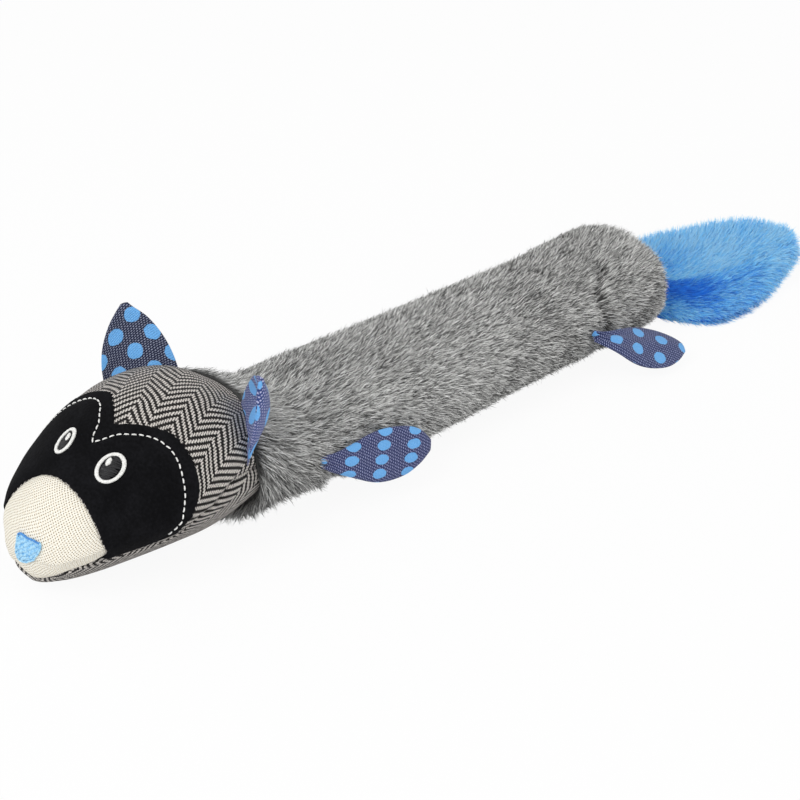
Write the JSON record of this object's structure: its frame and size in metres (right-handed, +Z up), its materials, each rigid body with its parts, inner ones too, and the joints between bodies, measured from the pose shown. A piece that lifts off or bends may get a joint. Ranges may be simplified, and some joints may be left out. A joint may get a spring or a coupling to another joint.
{
  "type": "dog toy",
  "caption": "Long stuffed plush squeaky toy for dogs: an animal with a masked tweed head, a slack fur body, dotted denim ears and legs and a flat plush tail.",
  "frame": {"origin": "on the floor under the middle of the toy's box", "axes": "+Z up, -Y from the body toward the snout, +X toward the toy's left side"},
  "size_m": [0.1138, 0.4526, 0.0927],
  "materials": {
    "herringbone_tweed": "woven wool, herringbone",
    "black_suede": "matt short nap",
    "cotton_canvas": "basket weave, matt",
    "denim_dots": "chambray weave printed with light blue dots",
    "grey_plush": "long pile faux fur",
    "blue_plush": "short pile plush",
    "white_thread": "satin stitched thread",
    "black_thread": "satin stitched thread, slightly shiny",
    "blue_thread": "satin stitched thread",
    "polyester_fill": "loose white fibre",
    "squeaker_vinyl": "thin soft vinyl",
    "squeaker_plastic": "moulded",
    "reed_plastic": "thin film"
  },
  "bodies": {
    "torso_front": {"plush_tube_front": "grey_plush", "body_filling_front": "polyester_fill", "front_squeaker_bulb": "squeaker_vinyl", "front_squeaker_reed_holder": "squeaker_plastic", "front_squeaker_reed": "reed_plastic"},
    "neck": {"neck_sleeve": "grey_plush", "neck_filling": "polyester_fill"},
    "head": {"crown_panel": "herringbone_tweed", "chin_panel": "herringbone_tweed", "snout_panel": "cotton_canvas", "mask_applique": "black_suede", "mask_stitching": "white_thread", "nose_embroidery": "blue_thread", "eye_ring_left": "white_thread", "eye_ring_right": "white_thread", "eye_pupil_left": "black_thread", "eye_pupil_right": "black_thread", "eye_glint_left": "white_thread", "eye_glint_right": "white_thread", "head_filling": "polyester_fill", "head_squeaker_bulb": "squeaker_vinyl", "head_squeaker_reed_holder": "squeaker_plastic", "head_squeaker_reed": "reed_plastic"},
    "ear_left": {"ear_front_panel_left": "denim_dots", "ear_back_panel_left": "denim_dots"},
    "ear_right": {"ear_front_panel_right": "denim_dots", "ear_back_panel_right": "denim_dots"},
    "waist": {"plush_tube_middle": "grey_plush", "body_filling_middle": "polyester_fill"},
    "torso_rear": {"plush_tube_rear": "grey_plush", "body_filling_rear": "polyester_fill", "rear_squeaker_bulb": "squeaker_vinyl", "rear_squeaker_reed_holder": "squeaker_plastic", "rear_squeaker_reed": "reed_plastic"},
    "tail_base": {"tail_root": "blue_plush"},
    "tail": {"tail_upper_panel": "blue_plush", "tail_lower_panel": "blue_plush"},
    "leg_front_left": {"leg_front_left_upper_panel": "denim_dots", "leg_front_left_lower_panel": "denim_dots"},
    "leg_front_right": {"leg_front_right_upper_panel": "denim_dots", "leg_front_right_lower_panel": "denim_dots"},
    "leg_rear_left": {"leg_rear_left_upper_panel": "denim_dots", "leg_rear_left_lower_panel": "denim_dots"},
    "leg_rear_right": {"leg_rear_right_upper_panel": "denim_dots", "leg_rear_right_lower_panel": "denim_dots"}
  },
  "joints": [
    {"name": "neck_turn", "type": "hinge", "parent": "torso_front", "child": "neck", "pos_m": [0.0096, -0.11973, 0.02792], "axis": [0, 0, 1], "range_deg": [-34, 34], "deforming": ["neck_sleeve"]},
    {"name": "neck_nod", "type": "hinge", "parent": "neck", "child": "head", "pos_m": [0.0096, -0.11973, 0.02792], "axis": [1, 0, 0], "range_deg": [-35, 40], "deforming": ["neck_sleeve"]},
    {"name": "ear_left_fold", "type": "hinge", "parent": "head", "child": "ear_left", "pos_m": [0.03913, -0.13802, 0.05187], "axis": [0.844, -0.515, -0.15], "range_deg": [-75, 32]},
    {"name": "ear_right_fold", "type": "hinge", "parent": "head", "child": "ear_right", "pos_m": [-0.00668, -0.15602, 0.06795], "axis": [-0.601, -0.7961, -0.071], "range_deg": [-60, 75]},
    {"name": "waist_turn", "type": "hinge", "parent": "torso_front", "child": "waist", "pos_m": [0.00193, 0.02027, 0.02188], "axis": [0, 0, 1], "range_deg": [-60, 60], "deforming": ["plush_tube_middle"]},
    {"name": "waist_fold", "type": "hinge", "parent": "waist", "child": "torso_rear", "pos_m": [0.00193, 0.02027, 0.02188], "axis": [1, 0, 0], "range_deg": [-90, 90], "deforming": ["plush_tube_middle"]},
    {"name": "tail_swing", "type": "hinge", "parent": "torso_rear", "child": "tail_base", "pos_m": [-0.0032, 0.12027, 0.0184], "axis": [0, 0, 1], "range_deg": [-12, 28]},
    {"name": "tail_lift", "type": "hinge", "parent": "tail_base", "child": "tail", "pos_m": [-0.0032, 0.12027, 0.0184], "axis": [1, 0, 0], "range_deg": [-10, 28]},
    {"name": "leg_front_left_flap", "type": "hinge", "parent": "torso_front", "child": "leg_front_left", "pos_m": [0.04504, -0.10846, 0.02832], "axis": [0.1989, -0.1939, -0.9606], "range_deg": [-4, 110]},
    {"name": "leg_front_right_flap", "type": "hinge", "parent": "torso_front", "child": "leg_front_right", "pos_m": [-0.02815, -0.10846, 0.02832], "axis": [0.1989, 0.1939, 0.9606], "range_deg": [0, 110]},
    {"name": "leg_rear_left_flap", "type": "hinge", "parent": "torso_rear", "child": "leg_rear_left", "pos_m": [0.03685, 0.05852, 0.02442], "axis": [0.7681, -0.418, -0.4851], "range_deg": [-8, 100]},
    {"name": "leg_rear_right_flap", "type": "hinge", "parent": "torso_rear", "child": "leg_rear_right", "pos_m": [-0.03685, 0.05852, 0.02442], "axis": [0.7681, 0.418, 0.4851], "range_deg": [-2, 100]}
  ]
}
